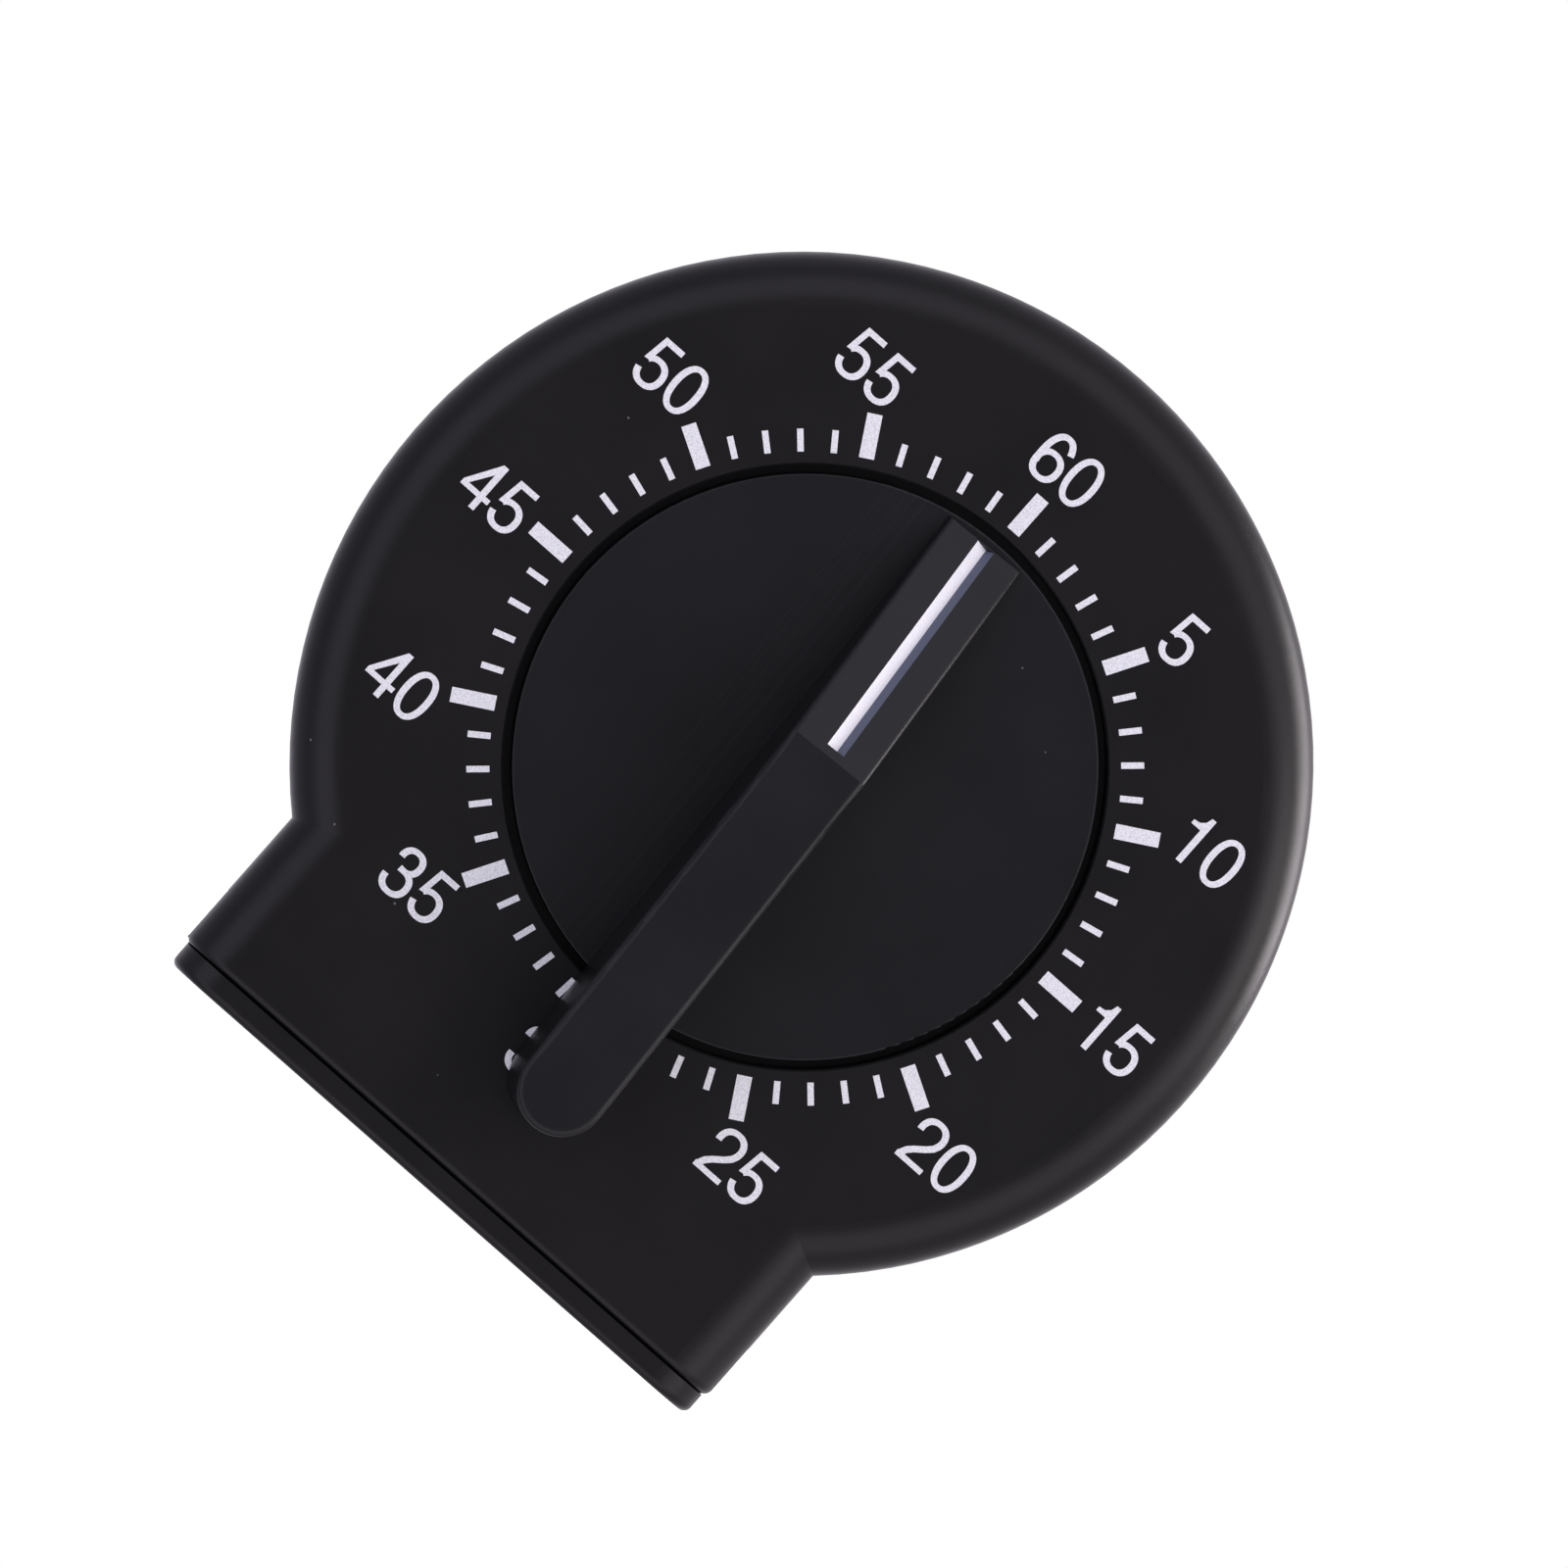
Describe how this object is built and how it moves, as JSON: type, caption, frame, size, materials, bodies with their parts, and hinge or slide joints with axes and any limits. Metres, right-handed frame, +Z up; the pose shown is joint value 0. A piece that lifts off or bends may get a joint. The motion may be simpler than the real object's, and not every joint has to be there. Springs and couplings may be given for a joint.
{
  "type": "kitchen timer",
  "caption": "Wind-up kitchen timer: round drafted body on a short neck, flush turning disc with a tall finger-grip bar, spring-driven gear train, verge escapement and bell.",
  "frame": {"origin": "centre of the foot, on the surface the timer stands on, midway between the sides and on the body's depth reference", "axes": "+X to the right of someone reading the dial, +Y from the dial to the back, +Z up; the dial turns about an axis along Y"},
  "size_m": [0.0802, 0.0439, 0.0843],
  "materials": {
    "body_plastic": "fine matt moulded black plastic",
    "knob_plastic": "satin moulded black plastic",
    "white_inlay": "white inlay",
    "dial_print": "white pad print",
    "foot_rubber": "ribbed rubber",
    "blackened_steel": "black oxide",
    "zinc_steel": "zinc plated, stamped",
    "spring_steel": "blued",
    "brass": "stamped brass",
    "nylon_cam": "natural nylon",
    "bell_steel": "bright nickel plate"
  },
  "bodies": {
    "case": {"front_shell": "body_plastic", "rear_cover": "body_plastic", "base_plate": "body_plastic", "foot_pad": "foot_rubber", "cover_screws": "blackened_steel", "base_screws": "blackened_steel", "front_plate": "zinc_steel", "rear_plate": "zinc_steel", "plate_bushes": "brass", "pillars": "zinc_steel", "pillar_nuts": "zinc_steel", "movement_screws": "zinc_steel", "mainspring": "spring_steel", "spring_post": "zinc_steel", "spring_pegs": "zinc_steel", "bell": "bell_steel", "bell_post": "zinc_steel", "bell_screw": "zinc_steel", "hammer_post": "zinc_steel", "hammer_spring": "spring_steel", "detent_post": "zinc_steel", "detent_spring": "spring_steel"},
    "dial": {"dial_knob": "knob_plastic", "pointer_line": "white_inlay", "knob_bush": "brass", "main_arbor": "zinc_steel", "arbor_clip": "zinc_steel", "zero_cam": "nylon_cam", "ratchet_wheel": "zinc_steel"},
    "main_wheel_set": {"main_wheel": "brass", "click": "zinc_steel", "click_rivet": "zinc_steel", "click_spring": "spring_steel"},
    "second_set": {"second_pinion": "zinc_steel", "second_wheel": "brass", "strike_wheel": "zinc_steel"},
    "third_set": {"third_pinion": "zinc_steel", "third_wheel": "brass"},
    "escape_set": {"escape_pinion": "zinc_steel", "escape_wheel": "brass"},
    "verge": {"verge_staff": "zinc_steel", "pallet_lever": "zinc_steel", "balance_wheel": "brass"},
    "hammer": {"hammer_arm": "zinc_steel", "hammer_head": "brass"},
    "detent": {"detent_lever": "zinc_steel"}
  },
  "joints": [
    {"name": "dial_turn", "type": "hinge", "parent": "case", "child": "dial", "pos_m": [0, 0, 0.0442], "axis": [0, 1, 0], "range_deg": [0, 355]},
    {"name": "main_wheel_turn", "type": "hinge", "parent": "case", "child": "main_wheel_set", "pos_m": [0, 0, 0.0442], "axis": [0, 1, 0], "range_deg": [-1, 356]},
    {"name": "second_turn", "type": "hinge", "parent": "case", "child": "second_set", "pos_m": [-0.00883, 0, 0.03159], "axis": [0, 1, 0], "range_deg": [-2136, 6]},
    {"name": "third_turn", "type": "hinge", "parent": "case", "child": "third_set", "pos_m": [-0.01838, 0, 0.0371], "axis": [0, 1, 0], "range_deg": [-36, 12816]},
    {"name": "escape_turn", "type": "hinge", "parent": "case", "child": "escape_set", "pos_m": [-0.01668, 0, 0.04675], "axis": [0, 1, 0], "range_deg": [-76896, 216]},
    {"name": "verge_swing", "type": "hinge", "parent": "case", "child": "verge", "pos_m": [-0.01198, 0, 0.05489], "axis": [0, 1, 0], "range_deg": [-5, 5]},
    {"name": "hammer_swing", "type": "hinge", "parent": "case", "child": "hammer", "pos_m": [-0.00264, 0, 0.02796], "axis": [0, 1, 0], "range_deg": [0, 10], "stiffness_Nm_per_rad": 0.002, "springref_deg": -28.65},
    {"name": "detent_swing", "type": "hinge", "parent": "case", "child": "detent", "pos_m": [-0.006, 0, 0.0546], "axis": [0, 1, 0], "range_deg": [-6, 0], "stiffness_Nm_per_rad": 0.002, "springref_deg": 28.65}
  ],
  "couplings": [
    {"joint": "main_wheel_turn", "follows": "dial_turn", "ratio": 1},
    {"joint": "second_turn", "follows": "dial_turn", "ratio": -6},
    {"joint": "third_turn", "follows": "dial_turn", "ratio": 36},
    {"joint": "escape_turn", "follows": "dial_turn", "ratio": -216}
  ]
}
